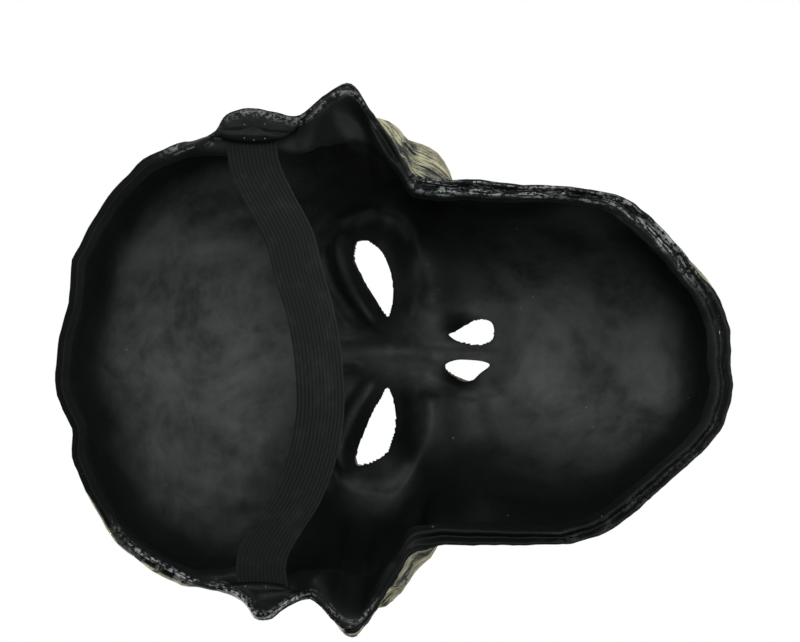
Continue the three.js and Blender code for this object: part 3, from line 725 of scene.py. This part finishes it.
def makeSkin(s, material):
    g = buildSkin(s)
    rings, around = g["ring"].shape
    count = rings * around
    inner, outer = g["inner"].reshape(-1, 3), g["outer"].reshape(-1, 3)
    poleIn = g["inner"][-1].mean(0)
    poleOut = g["outer"][-1].mean(0)
    inner, outer = np.vstack([inner, poleIn]), np.vstack([outer, poleOut])
    i, j = np.meshgrid(np.arange(rings - 1), np.arange(around), indexing="ij")
    k = (j + 1) % around
    quads = np.stack([i * around + j, (i + 1) * around + j, (i + 1) * around + k, i * around + k], -1)
    quads = quads.reshape(-1, 4)
    last = (rings - 1) * around
    fans = np.array([(last + a, count, last + (a + 1) % around) for a in range(around)])
    # Openings: faces inside each outline go, and the vertices left on its edge move onto it
    middle = inner[quads].mean(1)
    kept = np.ones(len(quads), bool)
    for key in ("eyeRight", "eyeLeft", "nostrilRight", "nostrilLeft"):
        hole = curveThrough(s[key], steps=10)[:, :2]
        cut = (middle[:, 1] < openingsBehind) & insideOutline(middle[:, 0], middle[:, 2], hole)
        kept &= ~cut
        trimHole(inner, outer, (rings, around), quads, cut, hole)
    half = [tuple(q) for q in quads[kept]] + [tuple(f) for f in fans]
    offset = len(inner)
    faces = half + [tuple(offset + v for v in f[::-1]) for f in half]
    # The edge between the two sides, round the rim and each opening, with a row of points that rounds it
    seen = {}
    for f in half:
        for a, b in zip(f, f[1:] + f[:1]):
            seen[(a, b)] = f
    border = [(a, b) for a, b in seen if (b, a) not in seen]
    away = {}
    for a, b in border:
        centre = inner[list(seen[(a, b)])].mean(0)
        for v in (a, b):
            away.setdefault(v, []).append((inner[a] + inner[b]) / 2 - centre)
    after = dict(border)
    before = {b: a for a, b in border}
    middles = {}
    extra = []
    moves = {}
    for v, steps in away.items():
        along = inner[after[v]] - inner[before[v]]
        push = np.array([along[2], 0, -along[0]])
        push *= np.sign(push @ np.sum(steps, 0)) / max(np.linalg.norm(push), 1e-9)
        middles[v] = 2 * offset + len(extra)
        if v < around:
            extra.append((inner[v] + outer[v]) / 2 + push * 0.55)
        else:
            # The painted side's edge lies back behind the bare side's
            back = push * np.clip((outer[v] - inner[v]) @ push + 0.45, 0.7, 3.4)
            moves[v] = back
            extra.append(inner[v] * 0.7 + (outer[v] - back) * 0.3 + push * 0.05)
    for v, back in moves.items():
        outer[v] -= back
    for a, b in border:
        faces.append((a, middles[a], middles[b], b)[::-1])
        faces.append((middles[a], offset + a, offset + b, middles[b])[::-1])
    points = np.vstack([inner, outer, extra])
    flat = {key: np.append(g[key].reshape(-1), g[key][-1].mean())
            for key in ("dark", "tooth", "bloomAndPaintedLight", "across", "ring", "lip", "upWall")}
    rim = np.vstack([g["rim"].reshape(-1, 3), g["rim"][-1].mean(0)])
    rimOutside = np.column_stack([rim[:, :2], flat["upWall"]])
    borderIds = np.array(list(middles))
    onRim = borderIds < around
    brush = brushWeight(inner, flat)
    # The paint stops short of the cut edge over the crown, except on the wearer's left
    toEdge = 1 - smooth((inner[:, 2] - 40) / 15) * smooth((58 - inner[:, 0]) / 15)
    paintOutside = np.where(flat["ring"] == 0, 0.3 + 0.7 * toEdge, 1)
    attributes = {
        "paint": np.concatenate([np.zeros(offset), paintOutside, 0.6 * toEdge[borderIds] * onRim]),
        "dark": np.concatenate([flat["dark"] * 0, flat["dark"], np.where(onRim, 0.2, 0.9)]),
        "tooth": np.concatenate([flat["tooth"] * 0, flat["tooth"], borderIds * 0.0]),
        "bloomAndPaintedLight": np.concatenate([flat["bloomAndPaintedLight"], flat["bloomAndPaintedLight"] * 0, borderIds * 0.0]),
        "brush": np.concatenate([brush, brush * 0, brush[borderIds]]),
        "rimPlace": np.vstack([rim, rimOutside, rim[borderIds]]),
    }
    return newObject("latexSkin", points, faces, material, attributes)


def brushWeight(points, flat):
    # Where stray bone paint was wiped over the lip: most on the right of the jaw, the lobes and the chin
    x, z = points[:, 0], points[:, 2]
    lipMm = flat["across"] * flat["lip"]
    wide = np.minimum(flat["lip"], 9)
    band = smooth(lipMm / 0.6) * smooth((wide - 1.2 - lipMm) / 3) * (flat["ring"] < 1)
    right = smooth((-x - 15) / 30)
    weight = 1.0 * right * smooth((-12 - z) / 8) * smooth((z + 138) / 20)
    weight += 0.08 * (1 - right) * smooth((-60 - z) / 15) * smooth((z + 150) / 20)
    weight += 0.42 * smooth((68 - z) / 5) * smooth((z + 4) / 8) * smooth((5 - lipMm) / 2)
    left = smooth((x - 40) / 15)
    crown = smooth((z - 54) / 10) * smooth((88 + 20 * left - z) / 12)
    crown = crown * smooth((2.6 - lipMm) / 1.4) * (flat["ring"] < 1)
    return np.clip(np.clip(weight, 0, 1) * band + crown * (0.55 + 0.45 * left), 0, 1)


# Colours and pattern sizes (mm) of the cast latex and of the bone paint on its outside.
latexLook = {
    "black": "#0c100f",
    # Grey of the bloom, which also serves as painted light on the bare side
    "bloomAndPaintedLight": "#666b68",
    "wiped": "#a5abaa",
    "bone": "#bdbb9c",
    "boneDeep": "#918f76",
    "boneWarm": "#c6c0a2",
    "wash": "#1d262b",
    # Clouds, mottle and stipple: size, detail and distortion
    "noises": [(34, 5, 0.6), (8, 6, 0.3), (1.6, 3, 0)],
    # What each noise paints: which noise, and the values where that starts and is full
    "parts": {
        "flecks": ("mottle", 0.54, 0.6),
        "bone": ("mottle", 0.36, 0.62),
        "boneWarm": ("clouds", 0.42, 0.66),
        "hairlines": ("clouds", 0.44, 0.56),
        "edgeStreaks": ("streaks", 0.53, 0.42),
        "mottle": ("mottle", 0.56, 0.4),
        "stipple": ("stipple", 0.42, 0.24),
        "streaks": ("streaks", 0.4, 0.29),
        "wipedStreaks": ("streaks", 0.44, 0.55),
        "wipedStipple": ("stipple", 0.43, 0.55),
        "wipedMottle": ("mottle", 0.37, 0.53),
    },
    "speckSpacing": 7,
    "hairlineCell": 26,
    "cheekHeight": -12,
    "streakLength": 13,
    "streakWidth": 0.7,
    "washes": {"hollows": 1.15, "mottle": 0.16, "stipple": 0.5, "streaks": 0.32, "edgeStreaks": 0.72,
               "hairline": 0.5},
    "roughness": 0.52,
    "paintRoughness": 0.68,
}


def latexMaterial(name, s):
    # Natural rubber latex, dyed black and cast in a mould: satin, with a grey bloom where it has dried, which
    # also carries painted light and shade on the bare side.
    # Outside, acrylic bone paint is sponged on over it, with a blue-black wash left in every hollow.
    material, tree = newMaterial(name)
    place = addNode(tree, "TexCoord", out="Object")
    paint, dark, tooth, brush, bloomAndLightMask = (addNode(tree, "Attribute", {"attribute_name": key}, out="Fac")
                                          for key in ("paint", "dark", "tooth", "brush", "bloomAndPaintedLight"))
    rim = addNode(tree, "Attribute", {"attribute_name": "rimPlace"}, out="Vector")
    clouds, mottle, stipple = (
        addNode(tree, "TexNoise", None, {"Vector": place, "Scale": 1 / (size * mm), "Detail": detail,
                                         "Roughness": 0.6, "Distortion": distortion})
        for size, detail, distortion in s["noises"])
    alongRim = addNode(tree, "VectorMath", times, {
        0: rim, 1: (1 / s["streakLength"], 1 / s["streakLength"], 1 / s["streakWidth"])})
    streaks = addNode(tree, "TexNoise", None, {
        "Vector": alongRim, "Scale": 1, "Detail": 4, "Roughness": 0.65})

    noises = {"clouds": clouds, "mottle": mottle, "stipple": stipple, "streaks": streaks}
    part = {}
    for key, (source, low, high) in s["parts"].items():
        part[key] = addNode(tree, ramp, smoothly, {
            "Value": noises[source], "From Min": low, "From Max": high})

    # Bare side: grey bloom in clouds, weighted by a mask that is partly painted light and shade, and a few
    # flecks of stray paint
    bloomAndPaintedLight = addNode(tree, math, times, {0: clouds, 1: 1.1})
    bloomAndPaintedLight = addNode(tree, math, scaledPlus, {0: mottle, 1: 0.5, 2: bloomAndPaintedLight})
    bloomAndPaintedLight = addNode(tree, ramp, smoothly, {"Value": bloomAndPaintedLight, "From Min": 0.25, "From Max": 1.2})
    bloomAndPaintedLight = addNode(tree, math, times, {0: bloomAndPaintedLight, 1: bloomAndLightMask})
    bare = addNode(tree, mix, inColor, {0: bloomAndPaintedLight, 6: linearColor(s["black"]), 7: linearColor(s["bloomAndPaintedLight"])}, 2)
    fleck = addNode(tree, "TexVoronoi", None, {"Vector": place, "Scale": 1 / (s["speckSpacing"] * mm)})
    fleck = addNode(tree, ramp, smoothly, {
        "Value": fleck, "From Min": 0.075, "From Max": 0.045, "To Max": 0.6})
    fleck = addNode(tree, math, times, {0: fleck, 1: part["flecks"]})
    bare = addNode(tree, mix, inColor, {0: fleck, 6: bare, 7: linearColor(s["boneDeep"])}, 2)

    # Painted side: three bone tones, and the wash over them
    tone = linearColor(s["boneDeep"])
    for key in ("bone", "boneWarm"):
        tone = addNode(tree, mix, inColor, {0: part[key], 6: tone, 7: linearColor(s[key])}, 2)
    bend = addNode(tree, "TexNoise", None, {"Vector": place, "Scale": 1 / (12 * mm), "Detail": 4}, "Color")
    bent = addNode(tree, "VectorMath", scaledPlus, {0: bend, 1: (14 * mm, 14 * mm, 14 * mm), 2: place})
    cells = addNode(tree, "TexVoronoi", {"feature": "DISTANCE_TO_EDGE"},
                    {"Vector": bent, "Scale": 1 / (s["hairlineCell"] * mm)})
    hairline = addNode(tree, ramp, smoothly, {"Value": cells, "From Min": 0.028, "From Max": 0.008})
    hairline = addNode(tree, math, times, {0: hairline, 1: part["hairlines"]})
    fromRim = addNode(tree, "SeparateXYZ", None, {0: rim}, "Z")
    nearRim = addNode(tree, ramp, smoothly, {"Value": fromRim, "From Min": 55, "From Max": 28})
    height = addNode(tree, "SeparateXYZ", None, {0: place}, "Z")
    away = addNode(tree, math, {"operation": "SUBTRACT"}, {0: height, 1: s["cheekHeight"] * mm})
    away = addNode(tree, math, {"operation": "ABSOLUTE"}, {0: away})
    byCheek = addNode(tree, ramp, smoothly, {
        "Value": away, "From Min": 45 * mm, "From Max": 18 * mm, "To Min": 0.15})
    for share in (nearRim, byCheek):
        part["edgeStreaks"] = addNode(tree, math, times, {0: part["edgeStreaks"], 1: share})
    part.update(hollows=dark, hairline=hairline)
    washed = addNode(tree, math, times, {0: tooth, 1: -0.14})
    for key, amount in s["washes"].items():
        washed = addNode(tree, math, scaledPlus, {0: part[key], 1: amount, 2: washed})
    washed = addNode(tree, ramp, smoothly, {"Value": washed, "From Min": 0.08, "From Max": 0.86})
    bone = addNode(tree, mix, inColor, {0: washed, 6: tone, 7: linearColor(s["wash"])}, 2)

    # Ragged limit of the paint round the cut edge, and paint wiped in streaks over the lip
    edge = addNode(tree, math, scaledPlus, {0: mottle, 1: 0.55, 2: paint})
    edge = addNode(tree, ramp, smoothly, {"Value": edge, "From Min": 0.715, "From Max": 0.835})
    wiped = brush
    for key in ("wipedStreaks", "wipedStipple", "wipedMottle"):
        wiped = addNode(tree, math, times, {0: wiped, 1: part[key]})
    wiped = addNode(tree, math, {"operation": "MINIMUM"}, {0: wiped, 1: 0.85})
    painted = addNode(tree, math, {"operation": "MAXIMUM"}, {0: edge, 1: wiped})
    over = addNode(tree, mix, inColor, {0: edge, 6: linearColor(s["wiped"]), 7: bone}, 2)
    color = addNode(tree, mix, inColor, {0: painted, 6: bare, 7: over}, 2)

    rough = addNode(tree, ramp, None, {"Value": painted, "To Min": s["roughness"] - 0.09,
                                       "To Max": s["paintRoughness"] - 0.09})
    rough = addNode(tree, math, scaledPlus, {0: stipple, 1: 0.18, 2: rough})
    grain = addNode(tree, math, times, {0: stipple, 1: 0.35})
    for source, amount in ((mottle, 0.65), (painted, 0.25)):
        grain = addNode(tree, math, scaledPlus, {0: source, 1: amount, 2: grain})
    bump = addNode(tree, "Bump", None, {"Height": grain, "Strength": 0.55, "Distance": 0.5 * mm})
    shader = addNode(tree, "BsdfPrincipled", None, {
        "Base Color": color, "Roughness": rough, "Normal": bump, "IOR": 1.52, "Specular IOR Level": 0.1})
    addNode(tree, "OutputMaterial", None, {"Surface": shader})
    return material


skinLatex = latexMaterial("castLatexBonePaint", latexLook)
skinPiece = makeSkin(skin, skinLatex)
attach(skinPiece, "mask")
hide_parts("latex_skin")
print("skin", len(skinPiece.data.vertices), "points")

# Braided elastic, 20 mm wide, stapled under a tab on each side and bowed out behind the head.
strap = {
    "route": [(-98, -3.45, 50.2), (-87.6, -3.45, 49.6), (-77, 1, 47.5), (-66, 8, 42), (-57.4, 14, 37),
              (-49.2, 18.5, 33), (-36.2, 24, 29.5), (-21.8, 28, 25), (-7.8, 30, 22.2), (5, 30.4, 21),
              (12.6, 30, 20.7), (21, 29, 21.2), (35, 25.5, 24), (53, 17.5, 31), (65.5, 9, 39),
              (75, 2.5, 44.3), (84, -2.9, 46), (88.6, -3.45, 45.4), (98, -3.45, 44.4)],
    "width": 20,
    "thickness": 1.2,
    "ribs": 13,
    "ribDepth": 0.28,
    "samples": 6,
    "step": 0.5,
    "tilt": 25,
    "anchorX": 87,
    "cuts": [-98, -77, -42, 42, 77, 98],
    "names": ["strapEndRight", "strapLegRight", "strapMiddle", "strapLegLeft", "strapEndLeft"],
}

elasticLook = {
    "thread": "#1a1d1e",
    # Darker colour for the valleys between ribs and threads, a painted shade
    "valleyShade": "#0e1111",
    "dust": "#34383a",
    "threadPitch": 0.8,
    "roughness": 0.82,
}


def elasticMaterial(s):
    # Rubber cores wrapped in textured polyester and braided flat: matt, with ribs and fine slanted threads.
    material, tree = newMaterial("braidedPolyesterElastic")
    across, along = (addNode(tree, "Attribute", {"attribute_name": key}, out="Fac")
                     for key in ("across", "along"))
    place = addNode(tree, "TexCoord", out="Object")
    fuzz, lint = (addNode(tree, "TexNoise", None, {
        "Vector": place, "Scale": 1 / (size * mm), "Detail": detail}) for size, detail in ((0.9, 3), (7, 4)))
    rib = addNode(tree, math, times, {0: across, 1: strap["ribs"] / strap["width"]})
    ribHeight, zigzag = (addNode(tree, math, {"operation": "PINGPONG"}, {0: rib, 1: top}) for top in (0.5, 1))
    depth = addNode(tree, ramp, None, {"Value": ribHeight, "From Max": 0.42})
    slant = addNode(tree, math, times, {0: zigzag, 1: 1.2})
    slant = addNode(tree, math, scaledPlus, {0: along, 1: 1 / s["threadPitch"], 2: slant})
    thread = addNode(tree, math, {"operation": "PINGPONG"}, {0: slant, 1: 0.5})
    thread = addNode(tree, math, scaledPlus, {0: thread, 1: 1.1, 2: 0.45})
    weave = addNode(tree, math, times, {0: depth, 1: thread})
    # The valleys between the ribs and between the threads are painted darker, a painted shade
    tone = addNode(tree, mix, inColor, {
        0: weave, 6: linearColor(s["valleyShade"]), 7: linearColor(s["thread"])}, 2)
    worn = addNode(tree, ramp, None, {"Value": lint, "From Min": 0.52, "From Max": 0.74, "To Max": 0.5})
    worn = addNode(tree, math, times, {0: worn, 1: fuzz})
    color = addNode(tree, mix, inColor, {0: worn, 6: tone, 7: linearColor(s["dust"])}, 2)
    height = addNode(tree, math, scaledPlus, {0: fuzz, 1: 0.3, 2: weave})
    bump = addNode(tree, "Bump", None, {"Height": height, "Strength": 0.8, "Distance": 0.25 * mm})
    shader = addNode(tree, "BsdfPrincipled", None, {
        "Base Color": color, "Roughness": s["roughness"], "Normal": bump, "IOR": 1.5,
        "Specular IOR Level": 0.14, "Sheen Weight": 0.06, "Sheen Roughness": 0.5})
    addNode(tree, "OutputMaterial", None, {"Surface": shader})
    return material


def makeStrap(s, material):
    route = curveThrough(s["route"], closed=False, steps=30)
    arc = np.concatenate([[0], np.cumsum(np.linalg.norm(np.diff(route, axis=0), axis=1))])
    columns = s["ribs"] * s["samples"] + 1
    across = np.linspace(0, s["width"], columns)
    part = (across / s["width"] * s["ribs"]) % 1
    half = s["thickness"] / 2 - s["ribDepth"] * (1 - np.sqrt(np.clip(1 - (2 * part - 1) ** 2, 0, 1)))
    half = half * np.sqrt(np.clip(1 - (np.abs(across / s["width"] * 2 - 1)) ** 26, 0.03, 1))
    pieces = []
    for low, high, name in zip(s["cuts"], s["cuts"][1:], s["names"]):
        ends = np.interp([low, high], route[:, 0], arc)
        count = int((ends[1] - ends[0]) / s["step"]) + 1
        stations = np.linspace(ends[0], ends[1], count)
        centre, ahead, behind = (
            np.stack([np.interp(stations + shift, arc, route[:, k]) for k in range(3)], 1)
            for shift in (0, 1, -1))
        heading = unit(ahead - behind)
        bow = ((1 + np.cos(np.pi * np.clip(np.abs(centre[:, 0]) / s["anchorX"], 0, 1))) / 2) ** 0.7
        tilt = np.radians(s["tilt"]) * bow
        wide = np.stack([tilt * 0, np.sin(tilt), np.cos(tilt)], 1)
        wide = unit(wide - (wide * heading).sum(1)[:, None] * heading)
        out = np.cross(wide, heading)
        curl = 0.35 * np.cos(np.pi * (across / s["width"] * 2 - 1)) * bow[:, None]
        base = centre[:, None] + wide[:, None] * (across - s["width"] / 2)[:, None]
        base = base + out[:, None] * curl[..., None]
        top = base + out[:, None] * half[:, None]
        bottom = base - out[:, None] * half[:, None]
        ring = np.concatenate([top, bottom[:, ::-1]], 1)
        if max(abs(low), abs(high)) > s["anchorX"]:
            # The corners are snipped so that nothing shows past the lobe
            rim = curveThrough(skin["lobeLeft" if high > 0 else "lobeRight"], closed=False)
            order = np.argsort(rim[:, 1])
            limit = np.interp(ring[..., 2], rim[order, 1], rim[order, 0]) - 1.6
            ring[..., 0] = np.clip(ring[..., 0], -limit, limit)
        size = 2 * columns
        faces = gridFaces(count, size)
        last = (count - 1) * size
        for a in range(columns - 1):
            faces.append((a + 1, a, size - 1 - a, size - 2 - a))
            faces.append((last + a, last + a + 1, last + size - 2 - a, last + size - 1 - a))
        acrossAll = np.tile(np.concatenate([across, across[::-1]]), count)
        piece = newObject(name, ring.reshape(-1, 3), faces, material,
                          {"across": acrossAll, "along": np.repeat(stations, size)})
        piece.data.set_sharp_from_angle(angle=1.1)
        pieces.append(piece)
    return pieces


elastic = elasticMaterial(elasticLook)
endRight, legRight, middlePiece, legLeft, endLeft = makeStrap(strap, elastic)
for piece, node, x in ((endRight, "strap_end_right", -1), (endLeft, "strap_end_left", 1)):
    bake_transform(piece)
    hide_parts(node)
for piece, node, x in ((legRight, "strap_leg_right", -1), (legLeft, "strap_leg_left", 1)):
    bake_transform(piece)
    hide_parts(node)
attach(middlePiece, "strap_middle")
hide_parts("strap_middle")
print("strap", len(middlePiece.data.vertices), "points in its middle")

# Tabs that trap the strap's ends: soft lobes of the same latex, laid on the lip and following its cut edge.
tab = {
    "inner": [(29, 97), (32, 91), (37, 88.6), (48, 88), (58, 88.4), (63, 89.4), (68, 90.5)],  # z and x
    "inset": 0.5,
    "low": 30,
    "high": {"left": 64.5, "right": 66.5},
    "under": -2.5,
    "over": -0.2,
    "puff": 1.7,
    "squareness": 2.5,
    "around": 120,
    "rings": 34,
    "staples": (89.75, 95.25),
}


def tabTop(x, z, s):
    # Height of the lobe's open side before its edge turns down: lumps, a crease, a dimple round each wire
    lumps = 0.45 * roughNoise(np.stack([x, z, x * 0], -1), 8, 71)
    crease = -0.6 * np.exp(-((np.abs(x) - 92.4 - 0.05 * (z - 48)) / 0.7) ** 2) * smooth((62 - z) / 6)
    dimples = sum(-0.45 * np.exp(-((np.abs(x) - at) ** 2 + (np.abs(z - 48) - 4.1) ** 2) / 0.7)
                  for at in s["staples"])
    return s["over"] + s["puff"] + lumps + crease + dimples


def makeTab(side, s, material):
    sign = 1 if side == "left" else -1
    rim = curveThrough(skin["lobe" + side.capitalize()], closed=False)
    order = np.argsort(rim[:, 1])
    innerZ, innerX = np.array(s["inner"]).T
    middleZ = (s["low"] + s["high"][side]) / 2
    halfZ = (s["high"][side] - s["low"]) / 2
    angle = np.linspace(0, 2 * np.pi, s["around"], endpoint=False)
    power = 2 / s["squareness"]
    edgeX, edgeZ = (np.sign(part) * np.abs(part) ** power for part in (np.cos(angle), np.sin(angle)))
    t = np.linspace(0, np.pi, s["rings"])[:, None]
    out = np.sin(t) ** 0.4
    z = middleZ + halfZ * edgeZ * out
    outside = np.interp(z, rim[order, 1], rim[order, 0]) - s["inset"]
    inside = np.minimum(np.interp(z, innerZ, innerX), outside - 0.6)
    x = (outside + inside) / 2 + (outside - inside) / 2 * edgeX * out
    seat = s["under"] + 0.6
    lift = np.clip(np.cos(t), 0, 1) ** 0.75
    above = seat + (tabTop(x * sign, z, s) - seat) * lift
    below = seat + (s["under"] - seat) * smooth((t - np.pi / 2) / 0.4)
    y = np.where(t < np.pi / 2, above, below)
    points = np.stack([x * sign, y, z], -1)
    n = s["around"]
    body = points[1:-1].reshape(-1, 3)
    top, bottom = len(body), len(body) + 1
    last = len(body) - n
    faces = gridFaces(s["rings"] - 2, n) + [(top, (a + 1) % n, a) for a in range(n)]
    faces += [(bottom, last + a, last + (a + 1) % n) for a in range(n)]
    points = np.vstack([body, points[0].mean(0), points[-1].mean(0)])
    if sign > 0:
        faces = [f[::-1] for f in faces]
    blank = np.zeros(len(points))
    # Bone paint only reaches the lobe's outer edge, most of it on the wearer's left
    gap = np.interp(points[:, 2], rim[order, 1], rim[order, 0]) - np.abs(points[:, 0])
    brush = smooth((5 - gap) / 4) * (1.9 if sign > 0 else 0.5)
    rimPlace = np.stack([points[:, 0] * 8, points[:, 2] * 8, points[:, 1] + gap * 0.6], 1)
    return newObject("anchorTab" + side.capitalize(), points, faces, material,
                     {"paint": blank, "dark": blank, "tooth": blank, "bloomAndPaintedLight": blank, "brush": brush,
                      "rimPlace": rimPlace})


for side in ("left", "right"):
    piece = makeTab(side, tab, skinLatex)
    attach(piece, "mask")
    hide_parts("anchor_tab_" + side)
print("tabs")

# Wire staples: the back of each lies on the painted side, and its two ends come through the tab.
staple = {
    "wire": 0.76,
    "span": 8.2,
    "backY": -7.52,
    "proud": 0.15,
    "bend": 0.7,
    "middleZ": 48,
    "dull": "#606365",
    "bright": "#96999a",
}


def stapleMaterial(s):
    # Drawn steel wire with a thin zinc coat: bright, with fine lengthwise drawing marks and dull patches.
    material, tree = newMaterial("galvanisedSteelWire")
    place = addNode(tree, "TexCoord", out="Object")
    stretched = addNode(tree, "VectorMath", times, {0: place, 1: (3000, 3000, 300)})
    marks = addNode(tree, "TexNoise", None, {"Vector": stretched, "Scale": 1, "Detail": 3})
    patches = addNode(tree, "TexNoise", None, {"Vector": place, "Scale": 1 / (1.8 * mm), "Detail": 4})
    color = addNode(tree, mix, inColor, {
        0: patches, 6: linearColor(s["dull"]), 7: linearColor(s["bright"])}, 2)
    rough = addNode(tree, ramp, None, {"Value": patches, "To Min": 0.26, "To Max": 0.5})
    bump = addNode(tree, "Bump", None, {"Height": marks, "Strength": 0.3, "Distance": 0.05 * mm})
    shader = addNode(tree, "BsdfPrincipled", None, {
        "Base Color": color, "Metallic": 1, "Roughness": rough, "Normal": bump})
    addNode(tree, "OutputMaterial", None, {"Surface": shader})
    return material


def sweepTube(path, radius, sides=14):
    # Round tube along a path in a plane of constant x, with domed ends
    path = np.asarray(path, float)
    heading = unit(np.gradient(path, axis=0))
    side = np.array([1.0, 0, 0])
    up = unit(np.cross(heading, side))
    angle = np.linspace(0, 2 * np.pi, sides, endpoint=False)[:, None]

    def hoop(k, push=0.0, share=1.0):
        centre = path[k] + heading[k] * radius * push
        return centre + radius * share * (np.cos(angle) * side + np.sin(angle) * up[k])
    rows = [hoop(k) for k in range(len(path))]
    for share, push in ((0.72, 0.6), (0.3, 0.92)):
        rows = [hoop(0, -push, share)] + rows + [hoop(-1, push, share)]
    count = len(rows)
    faces = [(f[0], f[3], f[2], f[1]) for f in gridFaces(count, sides)]
    faces += [tuple(range(sides)), tuple(range((count - 1) * sides, count * sides))[::-1]]
    return np.vstack(rows), faces


def staplePath(x, lean, s):
    # A square U in the plane of x with rounded corners
    half, r = s["span"] / 2, s["bend"]
    tips = [float(tabTop(np.array(x), np.array(s["middleZ"] + z), tab)) + s["proud"] for z in (half, -half)]
    corners = [(half, tips[0]), (half, s["backY"]), (-half, s["backY"]), (-half, tips[1])]
    route = [corners[0]]
    for before, corner, after in zip(corners, corners[1:], corners[2:]):
        before, corner, after = (np.array(c, float) for c in (before, corner, after))
        start = corner + (before - corner) / np.linalg.norm(before - corner) * r
        end = corner + (after - corner) / np.linalg.norm(after - corner) * r
        for t in np.linspace(0, 1, 7):
            route.append(tuple((1 - t) ** 2 * start + 2 * t * (1 - t) * corner + t * t * end))
    route.append(corners[-1])
    return [(x + lean * z, y, s["middleZ"] + z) for z, y in route]


steel = stapleMaterial(staple)
for side, sign in (("left", 1), ("right", -1)):
    for which, x, lean in (("inner", tab["staples"][0], -0.03), ("outer", tab["staples"][1], 0.02)):
        points, faces = sweepTube(staplePath(sign * x, lean, staple), staple["wire"] / 2)
        piece = newObject("staple" + side.capitalize() + which.capitalize(), points, faces, steel)
        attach(piece, "mask")
        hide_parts("staple_" + side + "_" + which)
print("staples")
